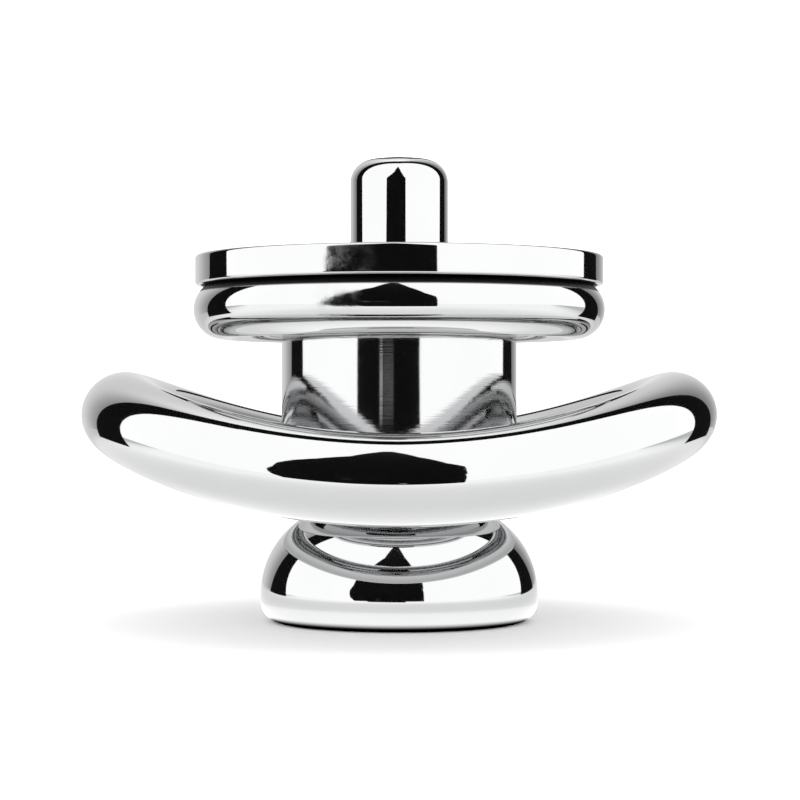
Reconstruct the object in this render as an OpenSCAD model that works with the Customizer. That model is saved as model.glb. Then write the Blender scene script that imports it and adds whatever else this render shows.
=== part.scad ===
// Curved ring locked to a flanged stem with a domed foot.
// Millimetres. +Z is up. The origin is the centre of the foot's flat bottom face.
// The two ends of the ring that curve upward are at -X and +X.
// The lock stands behind the stem, on the +Y side, above the ring's rear.

/* [Curved ring] */
// Diameter of the ring's round rod
ring_rod_diameter = 8.0; // [6:0.5:10]
// Centreline radius of the ring before it is bent
ring_centre_radius = 27.3; // [26:0.1:34]
// Radius of the bend that lifts both sides of the ring
ring_bend_radius = 65; // [50:1:150]
// Height of the rod's centre at the front and the rear of the ring
ring_height = 14.5; // [12:0.1:22]

/* [Foot] */
// Widest diameter of the foot
foot_diameter = 26.9; // [20:0.1:34]
// Height of the widest part of the foot
foot_widest_height = 2.6; // [2:0.1:4]
// Radius of the foot's domed side
foot_side_radius = 8.7; // [6:0.1:9.6]
// Radius of the foot's lower edge
foot_edge_radius = 2.0; // [0.5:0.1:2.4]
// Depth by which the dome's top is cut off flat to seat the stem
foot_seat_depth = 0.5; // [0.3:0.1:2]
// Diameter of the spigot that centres the stem on the foot
foot_spigot_diameter = 10; // [8:0.5:12]
// Height of the spigot
foot_spigot_height = 1.2; // [0.8:0.1:2]

/* [Stem] */
// Outside diameter of the stem
stem_diameter = 22.8; // [18:0.1:26]
// Length of the stem between the foot and the flange
stem_length = 17.75; // [14:0.05:24]
// Wall of the stem's tube
stem_wall = 2.6; // [1.5:0.1:4]
// Thickness of the stem's closed lower end
stem_end_wall = 3.0; // [2.5:0.1:5]

/* [Flange ring] */
// Outside diameter of the flange ring
flange_diameter = 39.8; // [33:0.1:43]
// Diameter of the flange ring's round rim
flange_rim_diameter = 5.7; // [5:0.1:8]
// Height of the flange's flat top above the middle of its rim
flange_top_offset = 2.35; // [1.5:0.05:2.4]
// Thickness of the flat web inside the rim
flange_web_thickness = 3.9; // [3.4:0.1:4.5]
// Diameter of the hole in the middle of the web
flange_bore_diameter = 14; // [12:0.5:16]

/* [Cap plate] */
// Diameter of the cap plate
plate_diameter = 39.5; // [33:0.1:43]
// Thickness of the plate's rim
plate_thickness = 2.85; // [2:0.05:4]
// Radius on the plate's top and bottom edges
plate_edge_radius = 0.3; // [0.1:0.05:0.8]

/* [Tie screw] */
// Thread diameter of the screw that ties plate, stem and foot together
screw_diameter = 5; // [4:0.5:6]
// Diameter of the screw's head
screw_head_diameter = 8.5; // [7:0.1:9.5]
// Height of the screw's head
screw_head_height = 3.2; // [2.5:0.1:3.5]
// Width across the flats of the head's hexagon socket
screw_socket_width = 3; // [2:0.5:4]
// Depth of the hexagon socket
screw_socket_depth = 1.8; // [1:0.1:2]
// Depth of the screw's head below the plate's top
screw_head_recess = 0.2; // [0.1:0.1:0.6]
// Length of screw that goes into the foot
screw_grip = 6.5; // [5:0.5:8]
// Height of the spring washer under the head
washer_height = 1.0; // [0.8:0.1:1.2]
// Width of the cut through the spring washer
washer_gap = 0.8; // [0.5:0.1:1.2]

/* [Lock housing] */
// Outside diameter of the lock housing and of the lug under it
housing_diameter = 10.7; // [10:0.05:13]
// Height of the housing above its seat on the lug
housing_length = 28.6; // [28.4:0.1:36]
// Radius of the housing's rounded upper edge
housing_round = 2.5; // [1:0.1:2.9]
// Height of the lug's top above the top of the ring's rod
lug_rise = 0.5; // [0.3:0.1:2]
// Depth by which the lug is let into the ring's rod
lug_sink = 2.5; // [1.5:0.1:3.5]
// Diameter of the lug's tapered lower end
lug_neck_diameter = 7.8; // [7.2:0.1:9]
// Width of the web that joins the housing to the flange ring
web_width = 5; // [3:0.5:8]
// Height of the web
web_height = 3.4; // [2.5:0.1:4]

/* [Lock post] */
// Diameter of the post that stands on the ring
post_diameter = 6.4; // [6:0.1:7]
// Length of the post above the lug
post_length = 16.8; // [15:0.1:17]
// Distance from the post's axis to its flat side
post_flat_offset = 2.7; // [2.5:0.1:3]
// Diameter of the chamber inside the post's upper end
chamber_diameter = 4.4; // [4.2:0.1:4.8]
// Height of the chamber
chamber_height = 2.0; // [1.8:0.1:3]
// Thickness of the lip over the chamber
lip_thickness = 1.6; // [1.2:0.1:2]
// Width of the slot through the lip
lip_slot_width = 2.1; // [1.9:0.1:2.4]

/* [Lock cylinder] */
// Outside diameter of the lock's fixed shell
shell_diameter = 6.2; // [5.8:0.1:6.3]
// Length of the shell
shell_length = 11.0; // [10.4:0.1:11.1]
// Thickness of the shell's lower end
shell_end_wall = 1.6; // [1.2:0.1:2]
// Diameter of the turning rotor
rotor_diameter = 4.6; // [4.4:0.1:4.8]
// Diameter of the rotor's lower journal
journal_diameter = 3.2; // [3:0.1:3.4]
// Length of the journal below the clip
journal_tail = 0.15; // [0.1:0.05:0.3]
// Depth of the rotor's face below the housing's top
rotor_recess = 0.3; // [0.1:0.1:0.6]
// Width of the keyway
keyway_width = 0.8; // [0.6:0.1:1]
// Height of the keyway across the rotor's face
keyway_height = 2.8; // [2.4:0.1:3]
// Depth of the keyway from the rotor's face
keyway_depth = 7.2; // [6.8:0.1:7.4]
// Depth of the first wafer below the rotor's face
first_wafer_depth = 1.4; // [1.2:0.1:2]
// Thickness of one wafer
wafer_thickness = 0.5; // [0.4:0.05:0.6]
// Spacing of the wafers along the rotor
wafer_pitch = 1.5; // [1.2:0.1:1.6]
// Width of one wafer
wafer_width = 2.2; // [1.8:0.1:2.4]
// Length of the locking bar
bar_length = 4.0; // [3.8:0.1:4.2]
// Width of the locking bar
bar_width = 1.7; // [1.5:0.1:1.8]
// Height of the locking bar
bar_height = 1.5; // [1.2:0.1:1.6]
// Thickness of the clip that holds the rotor in its shell
clip_thickness = 0.4; // [0.3:0.1:0.5]
// Depth of the groove that holds the clip
clip_groove_depth = 0.35; // [0.2:0.05:0.4]
// Width of the clip's open side
clip_opening = 1.4; // [1:0.1:1.8]
// Diameter of the cross pins
cross_pin_diameter = 0.8; // [0.6:0.1:1]
// Diameter of the pin that holds the shell in the housing
shell_pin_diameter = 1.2; // [1:0.1:1.4]
// Height of the shell pin above the rotor's lower end
shell_pin_rise = 1.0; // [0.8:0.1:1.4]

/* [Clearances] */
// Radial gap around parts that turn or slide
running_gap = 0.05; // [0.02:0.01:0.1]
// Gap around wafers, clip and screw in their slots and holes
loose_gap = 0.1; // [0.05:0.05:0.2]
// Gap between the lock housing and the lug it comes down on
seat_gap = 0.1; // [0.05:0.05:0.3]

/* [Hidden] */
round_faces = 96;
small_faces = 48;
ring_sections = 96;
rod_sides = 28;
cut = 1;

ring_rod_radius = ring_rod_diameter / 2;
lock_y = ring_centre_radius;

foot_radius = foot_diameter / 2;
foot_arc_centre = foot_radius - foot_side_radius;
foot_top = foot_widest_height + foot_side_radius;
foot_seat = foot_top - foot_seat_depth;
spigot_top = foot_seat + foot_spigot_height;

stem_radius = stem_diameter / 2;
stem_top = foot_seat + stem_length;
flange_top = stem_top + flange_web_thickness;
flange_middle = flange_top - flange_top_offset;
flange_rim_radius = flange_rim_diameter / 2;
flange_rim_centre = flange_diameter / 2 - flange_rim_radius;

plate_radius = plate_diameter / 2;
plate_top = flange_top + plate_thickness;

screw_head_top = plate_top - screw_head_recess;
washer_top = screw_head_top - screw_head_height;
washer_bottom = washer_top - washer_height;
screw_tip = foot_seat - screw_grip;

lug_top = ring_height + ring_rod_radius + lug_rise;
lug_bottom = ring_height + ring_rod_radius - lug_sink;
housing_bottom = lug_top + seat_gap;
housing_top = housing_bottom + housing_length;
housing_radius = housing_diameter / 2;
shell_bottom = housing_top - shell_length;

post_top = lug_top + post_length;
lip_bottom = post_top - lip_thickness;
chamber_bottom = lip_bottom - chamber_height;

rotor_top = housing_top - rotor_recess;
rotor_bottom = shell_bottom + shell_end_wall + running_gap;
clip_top = shell_bottom - running_gap;
clip_bottom = clip_top - clip_thickness;
journal_bottom = clip_bottom - journal_tail;
journal_radius = journal_diameter / 2;
clip_groove_radius = journal_radius - clip_groove_depth;
bar_bottom = chamber_bottom + (chamber_height - bar_height) / 2;
bar_top = bar_bottom + bar_height;
bar_pin_height = shell_bottom + shell_end_wall / 2;
bar_shank_top = bar_pin_height + cross_pin_diameter;
shell_pin_height = rotor_bottom + shell_pin_rise;
first_wafer = rotor_top - first_wafer_depth;

function flat_ring_point(a, b) = [
  (ring_centre_radius + ring_rod_radius * cos(b)) * cos(a),
  (ring_centre_radius + ring_rod_radius * cos(b)) * sin(a),
  ring_rod_radius * sin(b)
];

function bent(p) = [
  (ring_bend_radius - p[2]) * sin(p[0] / ring_bend_radius * 180 / PI),
  p[1],
  ring_height + ring_bend_radius
    - (ring_bend_radius - p[2]) * cos(p[0] / ring_bend_radius * 180 / PI)
];

module at_lock(height = 0) {
  translate([0, lock_y, height])
    children();
}

module round_bar(bottom, top, diameter) {
  translate([0, 0, bottom])
    cylinder(h = top - bottom, d = diameter, $fn = small_faces);
}

module curved_ring() {
  points = [
    for (i = [0 : ring_sections - 1])
      for (j = [0 : rod_sides - 1])
        bent(flat_ring_point(360 * i / ring_sections, 360 * j / rod_sides))
  ];
  faces = [
    for (i = [0 : ring_sections - 1])
      for (j = [0 : rod_sides - 1])
        let (
          i2 = (i + 1) % ring_sections,
          j2 = (j + 1) % rod_sides,
          p = i * rod_sides + j,
          q = i2 * rod_sides + j,
          r = i2 * rod_sides + j2,
          s = i * rod_sides + j2
        )
          each [[p, s, r], [p, r, q]]
  ];
  color([0.80, 0.81, 0.82])
    polyhedron(points = points, faces = faces, convexity = 4);
}

module ring_lug() {
  color([0.78, 0.79, 0.80])
    at_lock()
      difference() {
        union() {
          translate([0, 0, lug_bottom])
            cylinder(h = lug_top - lug_rise - lug_bottom, d1 = lug_neck_diameter,
              d2 = housing_diameter, $fn = small_faces);
          round_bar(lug_top - lug_rise, lug_top, housing_diameter);
        }
        round_bar(lug_bottom - cut, lug_top + cut, post_diameter);
      }
}

module flat_sided_bar(bottom, top, diameter, flat_offset) {
  difference() {
    round_bar(bottom, top, diameter);
    translate([-diameter, flat_offset, bottom - cut])
      cube([diameter * 2, diameter, top - bottom + 2 * cut]);
  }
}

module lock_post() {
  color([0.74, 0.75, 0.77])
    at_lock()
      difference() {
        union() {
          round_bar(lug_bottom, lug_top, post_diameter);
          flat_sided_bar(lug_top, post_top, post_diameter, post_flat_offset);
        }
        round_bar(chamber_bottom, lip_bottom, chamber_diameter);
        intersection() {
          round_bar(lip_bottom - 0.01, post_top + cut, chamber_diameter);
          translate([-chamber_diameter, -lip_slot_width / 2, lip_bottom - 0.01])
            cube([chamber_diameter * 2, lip_slot_width, lip_thickness + 2 * cut]);
        }
      }
}

module rounded_disc(radius, bottom, top, edge) {
  translate([0, 0, bottom])
    rotate_extrude($fn = round_faces)
      difference() {
        square([radius, top - bottom]);
        translate([radius - edge, 0])
          difference() {
            square([edge + cut, edge]);
            translate([0, edge])
              circle(r = edge, $fn = small_faces);
          }
        translate([radius - edge, top - bottom - edge])
          difference() {
            square([edge + cut, edge + cut]);
            circle(r = edge, $fn = small_faces);
          }
      }
}

module cap_plate() {
  color([0.80, 0.81, 0.82])
    difference() {
      union() {
        rounded_disc(plate_radius, flange_top, plate_top, plate_edge_radius);
        translate([0, 0, stem_top])
          cylinder(h = flange_web_thickness + 0.5, d = flange_bore_diameter, $fn = round_faces);
      }
      round_bar(stem_top - cut, plate_top + cut, screw_diameter + 2 * loose_gap);
      round_bar(washer_bottom, plate_top + cut, screw_head_diameter + 2 * loose_gap);
    }
}

module flange_profile() {
  difference() {
    union() {
      translate([flange_bore_diameter / 2, stem_top])
        square([flange_rim_centre - flange_bore_diameter / 2, flange_web_thickness]);
      translate([flange_rim_centre, flange_middle])
        circle(r = flange_rim_radius, $fn = small_faces);
    }
    translate([0, flange_top])
      square([flange_diameter, flange_rim_diameter]);
    translate([0, stem_top - flange_rim_diameter])
      square([stem_radius, flange_rim_diameter]);
  }
}

module housing_cutter() {
  at_lock()
    round_bar(housing_bottom - cut, housing_top + cut, housing_diameter);
}

module flange_ring() {
  color([0.80, 0.81, 0.82])
    rotate_extrude($fn = round_faces)
      flange_profile();
}

module stem_tube() {
  color([0.79, 0.80, 0.81])
    difference() {
      translate([0, 0, foot_seat])
        cylinder(h = stem_length, r = stem_radius, $fn = round_faces);
      translate([0, 0, foot_seat + stem_end_wall])
        cylinder(h = stem_length, r = stem_radius - stem_wall, $fn = round_faces);
      round_bar(foot_seat - cut, foot_seat + foot_spigot_height, foot_spigot_diameter);
      round_bar(foot_seat, foot_seat + stem_length, screw_diameter + 2 * loose_gap);
    }
}

module foot_profile() {
  difference() {
    union() {
      square([foot_radius - foot_edge_radius, foot_widest_height]);
      square([foot_arc_centre, foot_seat]);
      translate([foot_radius - foot_edge_radius, foot_edge_radius])
        circle(r = foot_edge_radius, $fn = small_faces);
      translate([0, foot_edge_radius])
        square([foot_radius, foot_widest_height - foot_edge_radius]);
      intersection() {
        translate([foot_arc_centre, foot_widest_height])
          circle(r = foot_side_radius, $fn = round_faces);
        translate([0, foot_widest_height])
          square([foot_radius, foot_side_radius]);
      }
    }
    translate([0, foot_seat])
      square([foot_radius, foot_side_radius]);
  }
}

module foot_bulb() {
  color([0.80, 0.81, 0.82])
    difference() {
      union() {
        rotate_extrude($fn = round_faces)
          foot_profile();
        round_bar(foot_seat - 0.5, spigot_top, foot_spigot_diameter);
      }
      round_bar(screw_tip, spigot_top + cut, screw_diameter);
    }
}

module hexagon_socket(width, bottom, top) {
  corner = width / 2 / cos(30);
  translate([0, 0, bottom])
    linear_extrude(height = top - bottom)
      polygon([for (i = [0 : 5]) [corner * cos(60 * i), corner * sin(60 * i)]]);
}

module tie_screw() {
  color([0.60, 0.61, 0.63])
    difference() {
      union() {
        round_bar(screw_tip, washer_top + 0.5, screw_diameter);
        round_bar(washer_top, screw_head_top, screw_head_diameter);
      }
      hexagon_socket(screw_socket_width, screw_head_top - screw_socket_depth,
        screw_head_top + cut);
    }
}

module spring_washer() {
  color([0.55, 0.56, 0.58])
    difference() {
      round_bar(washer_bottom, washer_top, screw_head_diameter - 2 * loose_gap);
      round_bar(washer_bottom - cut, washer_top + cut, screw_diameter + 2 * loose_gap);
      translate([-washer_gap / 2, 0, washer_bottom - cut])
        cube([washer_gap, screw_head_diameter, washer_height + 2 * cut]);
    }
}

module housing_outline() {
  difference() {
    square([housing_radius, housing_length]);
    translate([housing_radius - housing_round, housing_length - housing_round])
      difference() {
        square([housing_round + cut, housing_round + cut]);
        circle(r = housing_round, $fn = round_faces);
      }
  }
}

module lock_housing() {
  color([0.80, 0.81, 0.82])
    difference() {
      at_lock(housing_bottom)
        rotate_extrude($fn = round_faces)
          housing_outline();
      at_lock()
        flat_sided_bar(housing_bottom - cut, shell_bottom, post_diameter + 2 * running_gap,
          post_flat_offset + running_gap);
      at_lock()
        round_bar(shell_bottom - 0.01, housing_top + cut, shell_diameter);
      shell_pin_bore();
    }
}

module housing_web() {
  web_top = flange_middle + web_height / 2;
  color([0.79, 0.80, 0.81])
    difference() {
      translate([-web_width / 2, flange_rim_centre, web_top - web_height])
        cube([web_width, lock_y - flange_rim_centre, min(web_height, flange_top - web_top + web_height)]);
      rotate_extrude($fn = round_faces)
        union() {
          flange_profile();
          square([flange_rim_centre, flange_top]);
        }
      housing_cutter();
    }
}

module shell_pin_bore() {
  translate([0, lock_y, shell_pin_height])
    rotate([-90, 0, 0])
      translate([0, 0, rotor_diameter / 2 + 2 * running_gap])
        cylinder(h = housing_radius, d = shell_pin_diameter, $fn = small_faces);
}

module shell_pin() {
  pin_start = rotor_diameter / 2 + 2 * running_gap;
  pin_end = housing_radius - 0.15;
  color([0.60, 0.61, 0.63])
    translate([0, lock_y + pin_start, shell_pin_height])
      rotate([-90, 0, 0])
        cylinder(h = pin_end - pin_start, d = shell_pin_diameter, $fn = small_faces);
}

module lock_shell() {
  color([0.70, 0.71, 0.73])
    difference() {
      intersection() {
        at_lock()
          round_bar(shell_bottom, housing_top, shell_diameter);
        at_lock(housing_bottom)
          rotate_extrude($fn = round_faces)
            housing_outline();
      }
      at_lock()
        round_bar(shell_bottom + shell_end_wall, housing_top + cut, rotor_diameter + 2 * running_gap);
      at_lock()
        round_bar(shell_bottom - cut, housing_top, journal_diameter + 2 * running_gap);
      shell_pin_bore();
    }
}

module wafer_slot(index, gap) {
  top = first_wafer - index * wafer_pitch;
  translate([-wafer_width / 2 - gap, -rotor_diameter, top - wafer_thickness - gap])
    cube([wafer_width + 2 * gap, rotor_diameter * 2, wafer_thickness + 2 * gap]);
}

module keyway(extra, bottom) {
  translate([-keyway_width / 2 - extra, -keyway_height / 2 - extra, bottom])
    cube([keyway_width + 2 * extra, keyway_height + 2 * extra, rotor_top + cut - bottom]);
}

module lock_rotor() {
  color([0.72, 0.66, 0.48])
    at_lock()
      difference() {
        union() {
          round_bar(rotor_bottom, rotor_top, rotor_diameter);
          round_bar(clip_top, rotor_bottom + 0.5, journal_diameter);
          round_bar(journal_bottom, clip_top + 0.1, clip_groove_radius * 2);
          round_bar(journal_bottom, clip_bottom, journal_diameter);
        }
        keyway(0, rotor_top - keyway_depth);
        for (i = [0 : 3])
          wafer_slot(i, loose_gap / 2);
        round_bar(journal_bottom - cut, bar_shank_top, bar_width);
        bar_pin_shape(journal_diameter + 2);
      }
}

module bar_pin_shape(length) {
  translate([0, 0, bar_pin_height])
    rotate([0, 90, 0])
      cylinder(h = length, d = cross_pin_diameter, center = true, $fn = small_faces);
}

module lock_bar() {
  color([0.60, 0.61, 0.63])
    at_lock()
      difference() {
        union() {
          round_bar(bar_bottom, bar_shank_top, bar_width);
          intersection() {
            translate([-bar_length / 2, -bar_width / 2, bar_bottom])
              cube([bar_length, bar_width, bar_height]);
            round_bar(bar_bottom, bar_top, bar_length);
          }
        }
        bar_pin_shape(bar_length);
      }
}

module bar_pin() {
  color([0.55, 0.56, 0.58])
    at_lock()
      bar_pin_shape(journal_diameter - 0.3);
}

module rotor_clip() {
  color([0.55, 0.56, 0.58])
    at_lock()
      difference() {
        round_bar(clip_bottom, clip_top, journal_diameter + 1.4);
        round_bar(clip_bottom - cut, clip_top + cut, clip_groove_radius * 2);
        translate([-clip_opening / 2, 0, clip_bottom - cut])
          cube([clip_opening, journal_diameter + 1, clip_thickness + 2 * cut]);
      }
}

module wafer(index) {
  top = first_wafer - index * wafer_pitch;
  color([0.78, 0.70, 0.45])
    at_lock()
      difference() {
        intersection() {
          round_bar(top - wafer_thickness, top, rotor_diameter - 2 * running_gap);
          translate([-wafer_width / 2, -rotor_diameter, top - wafer_thickness])
            cube([wafer_width, rotor_diameter * 2, wafer_thickness]);
        }
        keyway(-0.05, top - wafer_thickness - cut);
      }
}

module wafer_1() { wafer(0); }
module wafer_2() { wafer(1); }
module wafer_3() { wafer(2); }
module wafer_4() { wafer(3); }

curved_ring();
ring_lug();
lock_post();
cap_plate();
flange_ring();
stem_tube();
foot_bulb();
tie_screw();
spring_washer();
lock_housing();
housing_web();
lock_shell();
shell_pin();
lock_rotor();
lock_bar();
bar_pin();
rotor_clip();
wafer_1();
wafer_2();
wafer_3();
wafer_4();
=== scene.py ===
import math

import bmesh
import bpy
from mathutils import Matrix, Vector


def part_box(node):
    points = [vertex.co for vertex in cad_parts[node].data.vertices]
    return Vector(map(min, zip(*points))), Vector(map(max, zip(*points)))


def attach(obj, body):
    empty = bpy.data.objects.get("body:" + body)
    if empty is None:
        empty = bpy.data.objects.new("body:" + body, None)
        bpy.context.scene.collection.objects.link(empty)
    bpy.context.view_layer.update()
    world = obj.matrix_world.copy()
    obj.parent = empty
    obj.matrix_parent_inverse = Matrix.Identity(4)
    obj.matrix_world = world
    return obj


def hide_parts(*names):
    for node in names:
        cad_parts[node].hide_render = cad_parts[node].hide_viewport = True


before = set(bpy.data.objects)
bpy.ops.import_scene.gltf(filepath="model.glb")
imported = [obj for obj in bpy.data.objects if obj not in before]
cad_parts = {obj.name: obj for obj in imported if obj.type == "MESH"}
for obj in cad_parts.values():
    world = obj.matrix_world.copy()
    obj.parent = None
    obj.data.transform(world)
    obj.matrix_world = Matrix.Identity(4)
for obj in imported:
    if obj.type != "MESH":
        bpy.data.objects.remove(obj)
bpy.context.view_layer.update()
MM = 0.001

# ---------------------------------------------------------------- sizes from the frame

ring_low, ring_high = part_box("curved_ring")
lug_low, lug_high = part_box("ring_lug")
plate_low, plate_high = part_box("cap_plate")
flange_low, flange_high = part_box("flange_ring")
stem_low, stem_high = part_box("stem_tube")
foot_low, foot_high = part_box("foot_bulb")
screw_low, screw_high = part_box("tie_screw")
washer_low, washer_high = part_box("spring_washer")
housing_low, housing_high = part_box("lock_housing")
web_low, web_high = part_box("housing_web")
shell_low, shell_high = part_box("lock_shell")
post_low, post_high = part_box("lock_post")


def half_width(low, high):
    return (high.x - low.x) / 2


LOCK_AXIS = Vector((0, (housing_low.y + housing_high.y) / 2, 0))
POST_RADIUS = half_width(post_low, post_high)

# ---------------------------------------------------------------- sizes the boxes don't give

RUNNING_GAP = 0.05 * MM
LOOSE_GAP = 0.1 * MM
BREAK_EDGE = 0.12 * MM

ROD_RADIUS = 4.0 * MM
RING_BEND_RADIUS = 65 * MM
LUG_NECK_RADIUS = 3.9 * MM
LUG_RISE = 0.5 * MM
LUG_SHOULDER_ROUND = 0.3 * MM

FOOT_EDGE_RADIUS = 2.0 * MM
FOOT_WIDEST_HEIGHT = 2.6 * MM
FOOT_SIDE_RADIUS = 8.7 * MM
SPIGOT_RADIUS = 5 * MM
STEM_WALL = 2.6 * MM
STEM_END_WALL = 3.0 * MM
STEM_FOOT_ROUND = 0.3 * MM
RIM_RADIUS = 2.85 * MM
RIM_MIDDLE_HEIGHT = flange_low.z + RIM_RADIUS
FLANGE_BORE_RADIUS = 7 * MM
PLATE_EDGE_RADIUS = 0.3 * MM

SCREW_RADIUS = 2.5 * MM
SCREW_TIP_ROUND = 0.4 * MM
SCREW_HEAD_ROUND = 0.35 * MM
SCREW_HOLE_RADIUS = SCREW_RADIUS + LOOSE_GAP
COUNTERBORE_RADIUS = screw_high.x + LOOSE_GAP
SOCKET_MOUTH_RADIUS = 2.1 * MM
SOCKET_MOUTH_DEPTH = 0.12 * MM
SOCKET_WIDTH = 3.0 * MM
SOCKET_DEPTH = 1.8 * MM
SOCKET_POINT_DEPTH = 0.4 * MM

HOUSING_ROUND = 2.5 * MM
WEB_ROUND = 0.8 * MM

RING_SECTIONS = 480
ROD_SIDES = 64
TURNED_SEGMENTS = 256
SCREW_SEGMENTS = 96


# ---------------------------------------------------------------- outlines and turned pieces

def arc(centre, radius, start, end, steps):
    """Points of a round stretch, from one angle to another in degrees."""
    turns = [math.radians(start + (end - start) * i / steps) for i in range(steps + 1)]
    return [(centre[0] + radius * math.cos(a), centre[1] + radius * math.sin(a)) for a in turns]


def rounded(corners, steps=8, hold=0.25):
    """An outline through corners (r, z, round).

    A round above 0 becomes a tangent arc, with a point held on the straight to either side of it.
    """
    points = []
    count = len(corners)
    for i, (r, z, radius) in enumerate(corners):
        here = Vector((r, z))
        if radius == 0:
            points.append((r, z))
            continue
        back = (Vector(corners[i - 1][:2]) - here).normalized()
        ahead = (Vector(corners[(i + 1) % count][:2]) - here).normalized()
        half = back.angle(ahead) / 2
        reach = radius / math.tan(half)
        centre = here + (back + ahead).normalized() * (radius / math.sin(half))
        first = here + back * reach - centre
        last = here + ahead * reach - centre
        sweep = first.angle_signed(last)
        points.append(tuple(here + back * reach * (1 + hold)))
        for k in range(steps + 1):
            turned = first.copy()
            turned.rotate(Matrix.Rotation(-sweep * k / steps, 2))
            points.append(tuple(centre + turned))
        points.append(tuple(here + ahead * reach * (1 + hold)))
    return points


def object_from(bm, name, material):
    """A linked object with one material. It uses up the bmesh."""
    mesh = bpy.data.meshes.new(name)
    bm.to_mesh(mesh)
    bm.free()
    mesh.materials.append(material)
    made = bpy.data.objects.new(name, mesh)
    bpy.context.scene.collection.objects.link(made)
    return made


def merge_doubles(bm):
    bmesh.ops.remove_doubles(bm, verts=bm.verts, dist=1e-7)


def piece_from(bm, name, material, body, node):
    """Closes a mesh, turns its faces outward, and puts it in place of its CAD node."""
    merge_doubles(bm)
    bmesh.ops.recalc_face_normals(bm, faces=bm.faces)
    piece = object_from(bm, name, material)
    piece.data.shade_smooth()
    piece.data.set_sharp_from_angle(angle=math.radians(30))
    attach(piece, body)
    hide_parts(node)
    return piece


def spin_upright(bm, angle, steps, full=False):
    """Sweeps everything in the mesh round the upright axis through the origin."""
    bmesh.ops.spin(bm, geom=bm.verts[:] + bm.edges[:], cent=(0, 0, 0), axis=(0, 0, 1),
                   angle=angle, steps=steps, use_merge=full)


def spun(outline, axis_point=Vector((0, 0, 0)), closed=True, segments=TURNED_SEGMENTS):
    """A turned solid: the outline, in radius and height, spun once round an upright axis."""
    bm = bmesh.new()
    verts = [bm.verts.new((r, 0, z)) for r, z in outline]
    for a, b in zip(verts, verts[1:]):
        bm.edges.new((a, b))
    if closed:
        bm.edges.new((verts[-1], verts[0]))
    spin_upright(bm, math.tau, segments, full=True)
    bmesh.ops.translate(bm, verts=bm.verts, vec=axis_point)
    return bm


def keep_flats_flat(piece):
    """Weights the shading by face area, so wide flats stay flat right up to small rounds."""
    weighted = piece.modifiers.new("even shading", "WEIGHTED_NORMAL")
    weighted.mode = "FACE_AREA"
    weighted.weight = 50
    weighted.keep_sharp = True


# ---------------------------------------------------------------- shader maths

class Signal:
    """A shader value that can be used in ordinary arithmetic."""

    def __init__(self, finish, socket):
        self.finish = finish
        self.socket = socket

    def maths(self, operation, *others):
        node = self.finish.add("ShaderNodeMath", {"operation": operation},
                               {i + 1: other for i, other in enumerate(others)})
        self.finish.feed(node.inputs[0], self)
        return Signal(self.finish, node.outputs[0])

    def __add__(self, other):
        return self.maths("ADD", other)

    def __mul__(self, other):
        return self.maths("MULTIPLY", other)

    def __sub__(self, other):
        return self.maths("SUBTRACT", other)

    def __rsub__(self, other):
        return self.maths("MULTIPLY", -1.0) + other

    __radd__ = __add__
    __rmul__ = __mul__

    def above(self, edge, softness):
        """0 below the edge and 1 above it, with a soft step between."""
        node = self.finish.add("ShaderNodeMapRange", {"interpolation_type": "SMOOTHSTEP"},
                               {"From Min": edge - softness, "From Max": edge + softness})
        self.finish.feed(node.inputs["Value"], self)
        return Signal(self.finish, node.outputs["Result"])


class Finish:
    """A metal finish: one Principled shader, and the nodes that vary it over the surface."""

    def __init__(self, name, **constants):
        self.material = bpy.data.materials.new(name)
        self.material.use_nodes = True
        self.tree = self.material.node_tree
        self.shader = self.tree.nodes["Principled BSDF"]
        for socket, value in constants.items():
            self.shader.inputs[socket.replace("_", " ")].default_value = value
        self.place = self.add("ShaderNodeTexCoord").outputs["Object"]

    def add(self, kind, settings=None, inputs=None):
        node = self.tree.nodes.new(kind)
        for key, value in (settings or {}).items():
            setattr(node, key, value)
        for key, value in (inputs or {}).items():
            self.feed(node.inputs[key], value)
        return node

    def feed(self, socket, value):
        if isinstance(value, Signal):
            self.tree.links.new(value.socket, socket)
        elif isinstance(value, bpy.types.NodeSocket):
            self.tree.links.new(value, socket)
        else:
            socket.default_value = value

    def stretched(self, scale, centre=(0, 0, 0)):
        """The place on the piece, with each direction stretched by its own factor."""
        moved = self.add("ShaderNodeVectorMath", {"operation": "SUBTRACT"}, {0: self.place, 1: centre})
        scaled = self.add("ShaderNodeVectorMath", {"operation": "MULTIPLY"},
                          {0: moved.outputs[0], 1: scale})
        return scaled.outputs[0]

    def distance(self, centre, scale):
        """How far a place on the piece is from a centre, with each direction weighted."""
        place = self.stretched(scale, centre)
        node = self.add("ShaderNodeVectorMath", {"operation": "LENGTH"}, {0: place})
        return Signal(self, node.outputs["Value"])

    def place_along(self, axis):
        node = self.add("ShaderNodeSeparateXYZ", None, {0: self.place})
        return Signal(self, node.outputs[axis])

    def noise(self, scale, detail=2.0, roughness=0.5, place=None):
        node = self.add("ShaderNodeTexNoise", None,
                        {"Vector": place or self.place, "Scale": scale, "Detail": detail,
                         "Roughness": roughness})
        return Signal(self, node.outputs["Fac"])

    def colours(self, mask, first, second):
        node = self.add("ShaderNodeMix", {"data_type": "RGBA"}, {"Factor": mask, 6: first, 7: second})
        return node.outputs[2]

    def bumps(self, *layers):
        """Lays height patterns one over another. Each layer is a pattern and its depth in metres."""
        normal = None
        for height, depth in layers:
            inputs = {"Height": height, "Distance": depth, "Strength": 1.0}
            if normal:
                inputs["Normal"] = normal
            normal = self.add("ShaderNodeBump", None, inputs).outputs["Normal"]
        self.feed(self.shader.inputs["Normal"], normal)

    def surface(self, colour, roughness):
        self.feed(self.shader.inputs["Base Color"], colour)
        self.feed(self.shader.inputs["Roughness"], roughness)


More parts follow.
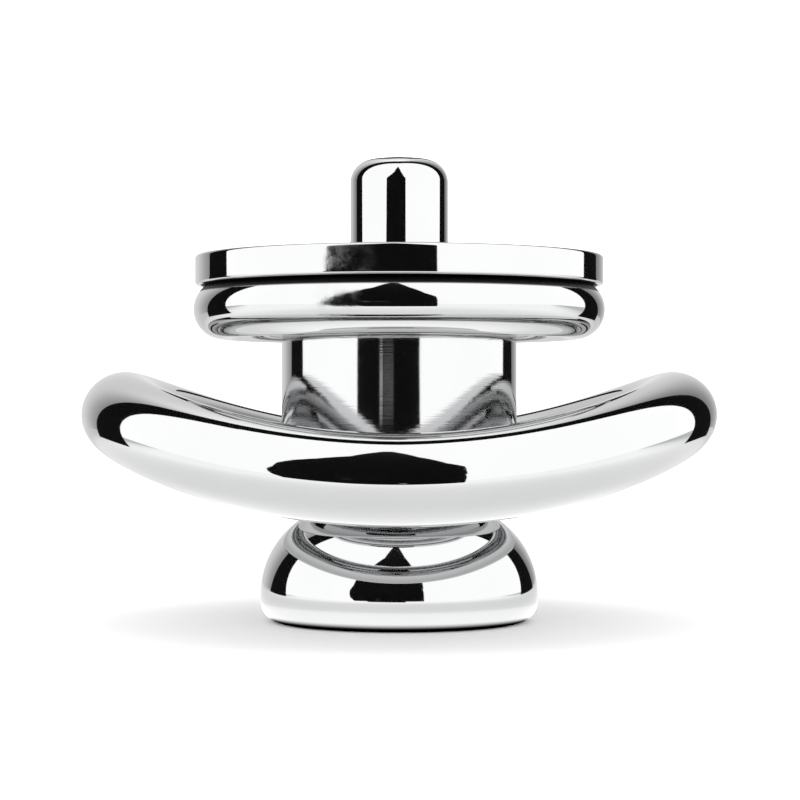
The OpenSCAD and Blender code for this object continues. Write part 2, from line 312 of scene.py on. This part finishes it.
# ---------------------------------------------------------------- finishes

STEEL_BRIGHT = (0.575, 0.577, 0.58, 1)
STEEL_SHADE = (0.54, 0.542, 0.546, 1)
# Near-black painted shade for the groove where the plate sits on the flange.
GROOVE_PAINTED_SHADE = (0.035, 0.034, 0.033, 1)
FASTENER_PALE = (0.50, 0.505, 0.515, 1)
FASTENER_DULL = (0.40, 0.405, 0.42, 1)
BRASS_BRIGHT = (0.80, 0.66, 0.36, 1)
BRASS_TARNISHED = (0.62, 0.49, 0.25, 1)
MICRON = 1e-6


def polished(finish, ripple, marks=()):
    """Steel polished by hand on a soft wheel: slow ripples, faint haze and a few hair scratches.

    Each mark is a mask, the height pattern of its scratches, their depth, and its added roughness.
    """
    haze = finish.noise(140, 4, 0.6)
    wheel_ripple = finish.noise(170, 1.5)
    hairs = finish.noise(1.0, 3, 0.7, finish.stretched((260, 5200, 5200))).above(0.72, 0.03)
    cross_hairs = finish.noise(1.0, 3, 0.7, finish.stretched((4800, 300, 4800))).above(0.74, 0.03)
    worn = (hairs + cross_hairs).maths("MINIMUM", 1.0)
    layers = [(wheel_ripple, 9 * MICRON * ripple), (worn, -0.5 * MICRON)]
    roughness = 0.022 + haze * 0.03 + worn * 0.10
    for mask, scratches, depth, dulling in marks:
        layers.append((scratches * mask, depth))
        roughness = roughness + mask * dulling
    finish.bumps(*layers)
    return finish.colours(haze, STEEL_BRIGHT, STEEL_SHADE), roughness


def mirror_steel(name, ripple=1.0):
    finish = Finish(name, Metallic=1.0)
    finish.surface(*polished(finish, ripple))
    return finish.material


def grooved_steel(name, groove_low, groove_high, groove_reach, scuff_centre):
    """Mirror steel with painted shade, near black, in a groove round the axis where the plate meets the
    flange, and one scuffed place on the edge.
    """
    finish = Finish(name, Metallic=1.0)
    height = finish.place_along("Z")
    inside = 1.0 - finish.distance((0, 0, 0), (1, 1, 0)).above(groove_reach, 0.12 * MM)
    # Painted shade: the groove between plate and flange is coloured near black, and made rougher there.
    painted_groove_shade = inside * height.above(groove_low, 0.10 * MM) * (1.0 - height.above(groove_high, 0.10 * MM))
    patches = finish.noise(520, 4, 0.7).above(0.50, 0.14)
    near = 1.0 - finish.distance(scuff_centre, (1.0, 0.6, 1.1)).above(2.4 * MM, 1.0 * MM)
    scuff = near * (patches * 0.75 + 0.25)
    scratches = finish.noise(1.0, 4, 0.7, finish.stretched((1500, 1500, 5200)))
    colour, roughness = polished(finish, 1.0, [(scuff, scratches, 7 * MICRON, 0.20)])
    finish.surface(finish.colours(painted_groove_shade, colour, GROOVE_PAINTED_SHADE), roughness + painted_groove_shade * 0.45)
    return finish.material


def turned_wall_steel(name):
    """Polished steel that still shows the fine level lines of the lathe."""
    finish = Finish(name, Metallic=1.0)
    haze = finish.noise(140, 4, 0.6)
    wheel_ripple = finish.noise(120, 1.0)
    tool_lines = finish.noise(1.0, 3, 0.65, finish.stretched((380, 380, 7600)))
    low_lines = finish.noise(1.0, 2, 0.5, finish.stretched((160, 160, 3000)))
    finish.bumps((wheel_ripple, 6 * MICRON), (tool_lines, 2.2 * MICRON), (low_lines, 2.0 * MICRON))
    finish.surface(finish.colours(haze, STEEL_BRIGHT, STEEL_SHADE), 0.03 + tool_lines * 0.06)
    return finish.material


def turned_face_steel(name, centre):
    """Steel faced on a lathe: fine rings round an upright axis."""
    finish = Finish(name, Metallic=1.0)
    distance = finish.distance(centre, (1, 1, 0))
    outward = finish.add("ShaderNodeCombineXYZ", None, {"X": distance}).outputs[0]
    rings = finish.noise(5200, 3, 0.6, outward)
    haze = finish.noise(300, 3, 0.6)
    finish.bumps((rings, 2.4 * MICRON))
    finish.surface(finish.colours(haze, STEEL_BRIGHT, STEEL_SHADE), 0.14 + rings * 0.14)
    return finish.material


def fastener_steel(name):
    """Plain machined steel, a little darker and duller than the polished pieces."""
    finish = Finish(name, Metallic=1.0)
    grain = finish.noise(2600, 4, 0.6)
    haze = finish.noise(500, 3, 0.6)
    finish.bumps((grain, 1.5 * MICRON))
    finish.surface(finish.colours(haze, FASTENER_PALE, FASTENER_DULL), 0.20 + grain * 0.16)
    return finish.material


def lock_brass(name):
    """Machined brass with faint darker patches where hands and keys have touched it."""
    finish = Finish(name, Metallic=1.0)
    grain = finish.noise(1.0, 3, 0.6, finish.stretched((900, 900, 9000)))
    tarnish = finish.noise(900, 4, 0.65)
    finish.bumps((grain, 1.2 * MICRON))
    finish.surface(finish.colours(tarnish, BRASS_BRIGHT, BRASS_TARNISHED), 0.18 + tarnish * 0.22)
    return finish.material


MIRROR = mirror_steel("mirror polished steel")
RING_MIRROR = mirror_steel("mirror polished ring steel", 0.8)
# The edge is worn in one place, a little to the left of the front.
WORN_PLACE = Vector((-4.3 * MM, -19.3 * MM, 0))
# Both pieces get painted shade in the groove where the plate sits on the flange.
PLATE_STEEL = grooved_steel(
    "polished plate steel", plate_low.z, flange_high.z + 0.05 * MM, plate_high.x - 0.55 * MM,
    WORN_PLACE + Vector((0, 0, (flange_high.z + plate_high.z) / 2)))
FLANGE_STEEL = grooved_steel(
    "polished flange steel", flange_high.z - 0.72 * MM, flange_high.z + 1 * MM, flange_high.x,
    WORN_PLACE + Vector((-1.6 * MM, 0, RIM_MIDDLE_HEIGHT + 0.4 * MM)))
STEM_STEEL = turned_wall_steel("polished steel with lathe lines")
LOCK_FACE = turned_face_steel("faced lock steel", LOCK_AXIS)
FASTENER = fastener_steel("machined fastener steel")
BRASS = lock_brass("machined lock brass")


# ---------------------------------------------------------------- ring and lug

def bend(point):
    """Wraps the flat ring over a level cylinder, so both sides of the ring rise."""
    turn = point.x / RING_BEND_RADIUS
    reach = RING_BEND_RADIUS - point.z
    return Vector((reach * math.sin(turn), point.y, RING_BEND_RADIUS - reach * math.cos(turn)))


def make_curved_ring():
    centre_radius = ring_high.y - ROD_RADIUS
    rod_height = ring_low.z + ROD_RADIUS
    bm = bmesh.new()
    bmesh.ops.create_circle(bm, segments=ROD_SIDES, radius=ROD_RADIUS)
    bmesh.ops.rotate(bm, verts=bm.verts, cent=(0, 0, 0), matrix=Matrix.Rotation(math.pi / 2, 3, "X"))
    bmesh.ops.translate(bm, verts=bm.verts, vec=(centre_radius, 0, 0))
    spin_upright(bm, math.tau, RING_SECTIONS, full=True)
    for vert in bm.verts:
        vert.co = bend(vert.co) + Vector((0, 0, rod_height))
    piece_from(bm, "polished_curved_ring", RING_MIRROR, "ring", "curved_ring")


def make_ring_lug():
    top_radius = half_width(lug_low, lug_high)
    shoulder = lug_high.z - LUG_RISE
    outline = rounded([
        (POST_RADIUS, lug_low.z, 0), (LUG_NECK_RADIUS, lug_low.z, 0),
        (top_radius, shoulder, LUG_SHOULDER_ROUND), (top_radius, lug_high.z, BREAK_EDGE),
        (POST_RADIUS, lug_high.z, 0)])
    bm = spun(outline, LOCK_AXIS)
    keep_flats_flat(piece_from(bm, "polished_ring_lug", MIRROR, "ring", "ring_lug"))


# ---------------------------------------------------------------- stem, flange, plate and foot

def make_flange():
    rim_centre = (flange_high.x - RIM_RADIUS, RIM_MIDDLE_HEIGHT)
    top_angle = math.degrees(math.asin((flange_high.z - RIM_MIDDLE_HEIGHT) / RIM_RADIUS))
    inner_angle = -180 + math.degrees(math.asin((RIM_MIDDLE_HEIGHT - stem_high.z) / RIM_RADIUS))
    outline = [(FLANGE_BORE_RADIUS, flange_high.z), (rim_centre[0], flange_high.z)]
    outline += arc(rim_centre, RIM_RADIUS, top_angle, inner_angle, 72)
    outline += [(FLANGE_BORE_RADIUS, stem_high.z)]
    bm = spun(outline)
    keep_flats_flat(piece_from(bm, "polished_flange_ring", FLANGE_STEEL, "stem", "flange_ring"))


def make_cap_plate():
    radius = plate_high.x
    outline = rounded([
        (SCREW_HOLE_RADIUS, stem_high.z, 0), (FLANGE_BORE_RADIUS, stem_high.z, 0),
        (FLANGE_BORE_RADIUS, flange_high.z, 0), (radius, flange_high.z, PLATE_EDGE_RADIUS),
        (radius, plate_high.z, PLATE_EDGE_RADIUS), (COUNTERBORE_RADIUS, plate_high.z, BREAK_EDGE),
        (COUNTERBORE_RADIUS, washer_low.z, 0), (SCREW_HOLE_RADIUS, washer_low.z, 0)])
    bm = spun(outline)
    keep_flats_flat(piece_from(bm, "polished_cap_plate", PLATE_STEEL, "stem", "cap_plate"))


def make_stem_tube():
    radius = stem_high.x
    bore = radius - STEM_WALL
    floor_height = stem_low.z + STEM_END_WALL
    spigot_top = foot_high.z
    outline = rounded([
        (SPIGOT_RADIUS, stem_low.z, 0), (radius, stem_low.z, STEM_FOOT_ROUND),
        (radius, stem_high.z, 0), (bore, stem_high.z, 0), (bore, floor_height, 0),
        (SCREW_HOLE_RADIUS, floor_height, 0), (SCREW_HOLE_RADIUS, spigot_top, 0),
        (SPIGOT_RADIUS, spigot_top, 0)])
    bm = spun(outline)
    keep_flats_flat(piece_from(bm, "polished_stem_tube", STEM_STEEL, "stem", "stem_tube"))


def make_foot():
    radius = foot_high.x
    seat = stem_low.z
    edge_centre = (radius - FOOT_EDGE_RADIUS, foot_low.z + FOOT_EDGE_RADIUS)
    side_centre = (radius - FOOT_SIDE_RADIUS, FOOT_WIDEST_HEIGHT)
    seat_angle = math.degrees(math.asin((seat - FOOT_WIDEST_HEIGHT) / FOOT_SIDE_RADIUS))
    outline = [(0, foot_low.z)]
    outline += arc(edge_centre, FOOT_EDGE_RADIUS, -90, 0, 24)
    outline += arc(side_centre, FOOT_SIDE_RADIUS, 0, seat_angle, 96)
    outline += [(SPIGOT_RADIUS, seat), (SPIGOT_RADIUS, foot_high.z), (SCREW_RADIUS, foot_high.z),
                (SCREW_RADIUS, screw_low.z), (0, screw_low.z)]
    bm = spun(outline, closed=False)
    keep_flats_flat(piece_from(bm, "polished_foot_bulb", MIRROR, "stem", "foot_bulb"))


# ---------------------------------------------------------------- tie screw

def sunk_rim(bm, rim, drop, reach_at=None):
    """Extrudes an open rim down by a drop, and gives the new rim.

    Where reach_at is given, it turns a point's angle into the distance from the axis that it takes.
    """
    grown = bmesh.ops.extrude_edge_only(bm, edges=rim)["geom"]
    for vert in grown:
        if not isinstance(vert, bmesh.types.BMVert):
            continue
        if reach_at:
            vert.co.xy = vert.co.xy.normalized() * reach_at(math.atan2(vert.co.y, vert.co.x))
        vert.co.z -= drop
    return [edge for edge in grown if isinstance(edge, bmesh.types.BMEdge) and edge.is_boundary]


def make_tie_screw():
    """Socket-head screw. The turned head ends in an open circle that is drawn in to a hexagon."""
    head_radius = screw_high.x
    head_low = washer_high.z
    outline = rounded([
        (0, screw_low.z, 0), (SCREW_RADIUS, screw_low.z, SCREW_TIP_ROUND),
        (SCREW_RADIUS, head_low, 0), (head_radius, head_low, 0),
        (head_radius, screw_high.z, SCREW_HEAD_ROUND), (SOCKET_MOUTH_RADIUS, screw_high.z, 0)])
    bm = spun(outline, closed=False, segments=SCREW_SEGMENTS)
    merge_doubles(bm)

    def hexagon_reach(angle):
        return SOCKET_WIDTH / 2 / math.cos((angle % (math.pi / 3)) - math.pi / 6)

    mouth = [edge for edge in bm.edges if edge.is_boundary]
    hexagon = sunk_rim(bm, mouth, SOCKET_MOUTH_DEPTH, hexagon_reach)
    socket_floor = sunk_rim(bm, hexagon, SOCKET_DEPTH)
    sunk_rim(bm, socket_floor, SOCKET_POINT_DEPTH, lambda angle: 0)
    keep_flats_flat(piece_from(bm, "machined_tie_screw", FASTENER, "stem", "tie_screw"))


# ---------------------------------------------------------------- lock housing and web

def make_lock_housing():
    radius = half_width(housing_low, housing_high)
    post_bore = POST_RADIUS + RUNNING_GAP
    shell_radius = half_width(shell_low, shell_high)
    dome = (radius - HOUSING_ROUND, housing_high.z - HOUSING_ROUND)
    dome_end = math.degrees(math.acos((shell_radius - dome[0]) / HOUSING_ROUND))
    outline = [(post_bore, housing_low.z), (radius, housing_low.z)]
    outline += arc(dome, HOUSING_ROUND, 0, dome_end, 48)
    outline += [(shell_radius, shell_low.z), (post_bore, shell_low.z)]
    bm = spun(outline, LOCK_AXIS)
    keep_flats_flat(piece_from(bm, "polished_lock_housing", MIRROR, "stem", "lock_housing"))


def make_housing_web():
    """Web between flange and housing, let into both, with rounded upper and lower edges."""
    bm = bmesh.new()
    bmesh.ops.create_cube(bm, size=1)
    size = web_high - web_low
    bmesh.ops.scale(bm, verts=bm.verts, vec=size)
    bmesh.ops.translate(bm, verts=bm.verts, vec=(web_low + web_high) / 2)
    lengthways = [edge for edge in bm.edges
                  if abs(edge.verts[0].co.y - edge.verts[1].co.y) > size.y / 2]
    bmesh.ops.bevel(bm, geom=lengthways, offset=WEB_ROUND, affect="EDGES", segments=6, profile=0.5,
                    material=-1)
    keep_flats_flat(piece_from(bm, "polished_housing_web", MIRROR, "stem", "housing_web"))


make_curved_ring()
make_ring_lug()
make_flange()
make_cap_plate()
make_stem_tube()
make_foot()
make_tie_screw()
make_lock_housing()
make_housing_web()

CAD_FINISHES = {
    "lock_post": LOCK_FACE, "lock_shell": LOCK_FACE, "lock_bar": LOCK_FACE,
    "spring_washer": FASTENER, "shell_pin": FASTENER, "bar_pin": FASTENER, "rotor_clip": FASTENER,
    "lock_rotor": BRASS, "wafer_1": BRASS, "wafer_2": BRASS, "wafer_3": BRASS, "wafer_4": BRASS,
}
for node_name, finish in CAD_FINISHES.items():
    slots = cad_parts[node_name].data.materials
    slots.clear()
    slots.append(finish)


# ---------------------------------------------------------------- studio

BLACK = (0, 0, 0, 1)
WHITE = (1, 1, 1, 1)
STUDIO_LIGHT = 1.74


def plain_material(name, grey, glow):
    """A dull grey stage material with an even white glow."""
    finish = Finish(name, Base_Color=(grey, grey, grey, 1), Roughness=0.9, Specular_IOR_Level=0.1,
                    Emission_Color=WHITE, Emission_Strength=glow)
    return finish.material


def graded_material(name, glow_of):
    """A stage material that glows unevenly. The glow is worked out over the sheet, from 0 to 1."""
    finish = Finish(name, Base_Color=BLACK, Roughness=1.0, Specular_IOR_Level=0.0,
                    Emission_Strength=STUDIO_LIGHT)
    finish.feed(finish.shader.inputs["Emission Color"], finish.colours(glow_of(finish), BLACK, WHITE))
    return finish.material


def staged(bm, name, material):
    stage_piece = object_from(bm, name, material)
    return stage_piece


def sheet_from(points, name, material):
    """A flat stage sheet through points in space."""
    bm = bmesh.new()
    bm.faces.new([bm.verts.new(point) for point in points])
    return staged(bm, name, material)


def reflected_only(sheet):
    """The sheet is seen in the steel, and neither by the camera nor as a shadow."""
    sheet.visible_camera = False
    sheet.visible_diffuse = False
    sheet.visible_shadow = False
    sheet.visible_transmission = False
    return sheet


DARK = plain_material("dark studio", 0.002, 0.0)
DIM_STRIPE = plain_material("dim stripe", 0.0, 0.13)
PALE_STRIPE = plain_material("pale stripe", 0.0, 0.55)
PALE_FLOOR = plain_material("pale floor", 0.84, 0.0)


def floor_glow_with_painted_shadows(finish):
    """Painted floor light: a painted shadow dark under the foot, painted shade in a soft grey band below
    the ring, white farther out, and darker again towards the back.
    """
    reach = finish.distance((0, 0, 0), (1, 1, 0))
    # Painted shadow: the floor does not glow under the foot.
    clear_of_painted_foot_shadow = reach.above(foot_high.x - 0.6 * MM, 0.6 * MM) * 0.93
    # Painted shade: a grey band on the floor where the ring would shade it.
    painted_ring_shadow = reach.above(25 * MM, 12 * MM) * 0.24
    spread = clear_of_painted_foot_shadow - painted_ring_shadow + reach.above(80 * MM, 45 * MM) * 0.23
    return spread * (1.0 - finish.place_along("Y").above(60 * MM, 80 * MM) * 0.50)


def backdrop_glow(finish):
    """Pale grey in the middle, falling off to dark near both side strips, and paler higher up."""
    across = finish.place_along("X")
    middle = (1.0 - across.above(0.15, 0.10)) * across.above(-0.23, 0.08)
    return middle * (finish.place_along("Z").above(0.40, 0.30) * 0.42 + 0.36) + 0.12


def level_sheet(name, front, height, material):
    """A wide level sheet that reaches out to both sides and to the back."""
    reach = 2.0
    corners = [(-reach, front), (reach, front), (reach, reach), (-reach, reach)]
    return sheet_from([(x, y, height) for x, y in corners], name, material)


def make_floor():
    """The floor that the camera sees, and just below it the graded one, glowing with painted shadows, that
    the steel reflects.
    """
    floor = level_sheet("floor", -2.0, 0, PALE_FLOOR)
    floor.visible_glossy = False
    # The steel reflects a glowing floor with painted shadows in place of a lit one.
    graded = graded_material("floor with painted shadows as the steel sees it", floor_glow_with_painted_shadows)
    reflected_only(level_sheet("floor_reflection", -0.2, -0.2 * MM, graded))


def front_card(name, distance, corners, material):
    """A sheet in front of the object that faces it. Corners are (x, z) in millimetres."""
    points = [(x * MM, -distance, z * MM) for x, z in corners]
    return reflected_only(sheet_from(points, name, material))


def make_dark_opening():
    """The tent's open front: one dark shape with a tall peak, and a slot to the dark room behind."""
    near = 0.100
    left, right = -81, 34
    slot_left, slot_right = -33, -6
    slot_low, slot_high = 19.5, 29.5
    front_card("opening_below_slot", near,
               [(right, 3), (right, slot_low), (left, slot_low), (-78, 11), (-69, 3)], DARK)
    front_card("opening_left_of_slot", near,
               [(left, slot_low), (slot_left, slot_low), (slot_left, slot_high), (left, slot_high)], DARK)
    front_card("opening_right_of_slot", near,
               [(slot_right, slot_low), (right, slot_low), (33, slot_high), (slot_right, slot_high)], DARK)
    front_card("opening_peak", near,
               [(left, slot_high), (right, slot_high), (33, 58), (24, 78), (11, 137), (-6, 290),
                (-14, 290), (-29, 137), (-46, 98), (-60, 78), (-71, 58), (-75, 40)], DARK)
    room = 1.0
    front_card("dark_room", room, [(-480, -200), (90, -200), (90, 360), (-480, 360)], DARK)
    in_front = room - 0.001
    front_card("pale_stripe", in_front, [(-335, 14), (-280, 14), (-280, 52), (-335, 52)], PALE_STRIPE)
    front_card("dim_stripe", in_front, [(-265, 14), (-95, 14), (-95, 52), (-265, 52)], DIM_STRIPE)


def curved_wall(name, first_bearing, last_bearing, distance, low, high, material, panels=24):
    """A wall round part of the object. Bearings are in degrees, 0 in front and + to the right."""
    start = math.radians(first_bearing)
    sweep = math.radians(last_bearing - first_bearing)
    base = Vector((math.sin(start), -math.cos(start), 0)) * distance
    bm = bmesh.new()
    bm.edges.new([bm.verts.new(base + Vector((0, 0, height))) for height in (low, high)])
    spin_upright(bm, sweep, panels)
    return reflected_only(staged(bm, name, material))


ARCH_SIDE_REACH = 0.125
ARCH_EXTRA_REACH_OVERHEAD = 0.16
ARCH_HALF_WIDTH = 0.034
ARCH_EXTRA_HALF_WIDTH_RIGHT = 0.006
ARCH_LEAN_OVERHEAD = 0.15
ARCH_EXTRA_LEAN_LEFT = 0.34
ARCH_EXTRA_LEAN_RIGHT = 0.68


def arch_edges(turn):
    """The arch's front and rear edge at a turn, from -90 degrees on the left to 90 on the right."""
    side = math.sin(turn)
    extra_lean = ARCH_EXTRA_LEAN_LEFT if side < 0 else ARCH_EXTRA_LEAN_RIGHT
    lean = ARCH_LEAN_OVERHEAD + extra_lean * abs(side) ** 1.2
    reach = ARCH_SIDE_REACH + ARCH_EXTRA_REACH_OVERHEAD * math.cos(turn)
    middle = Vector((side, lean, math.cos(turn))).normalized() * reach
    half = Vector((0, ARCH_HALF_WIDTH + max(0, side) * ARCH_EXTRA_HALF_WIDTH_RIGHT, 0))
    return middle - half, middle + half


def dark_arch(name, panels=48):
    """A dark band from the floor on the left, up over the object, and down to the floor on the right."""
    bm = bmesh.new()
    turns = [math.pi * (i / panels - 0.5) for i in range(panels + 1)]
    rungs = [[bm.verts.new(point) for point in arch_edges(turn)] for turn in turns]
    for (a, b), (c, d) in zip(rungs, rungs[1:]):
        bm.faces.new((a, c, d, b))
    return reflected_only(staged(bm, name, DARK))


def make_tent():
    """The tent's pale back, in front of it a dark arch, and a dark patch high behind the lock."""
    graded = graded_material("graded backdrop", backdrop_glow)
    dark_arch("dark_arch")
    curved_wall("pale_back", 132, 242, 0.32, 0.0, 0.80, graded)
    curved_wall("dark_patch_behind_lock", 172, 188, 0.31, 0.11, 0.34, DARK)


make_floor()
make_dark_opening()
make_tent()

scene = bpy.context.scene
world = bpy.data.worlds.new("soft white studio")
scene.world = world
world.use_nodes = True
sky = world.node_tree.nodes["Background"]
sky.inputs["Color"].default_value = WHITE
sky.inputs["Strength"].default_value = STUDIO_LIGHT
scene.view_settings.view_transform = "Standard"

# ---------------------------------------------------------------- camera

CAMERA_DISTANCE = 216.4 * MM
CAMERA_HEIGHT = 20.8 * MM
camera_data = bpy.data.cameras.new("level camera")
camera_data.sensor_width = 36
camera_data.lens = 100.3
camera_data.shift_x = 0.001
camera_data.shift_y = 0.0075
camera_data.clip_start = 0.001
camera_data.clip_end = 20
camera = bpy.data.objects.new("level_camera", camera_data)
camera.location = (0, -CAMERA_DISTANCE, CAMERA_HEIGHT)
camera.rotation_euler = (math.pi / 2, 0, 0)
scene.collection.objects.link(camera)
scene.camera = camera
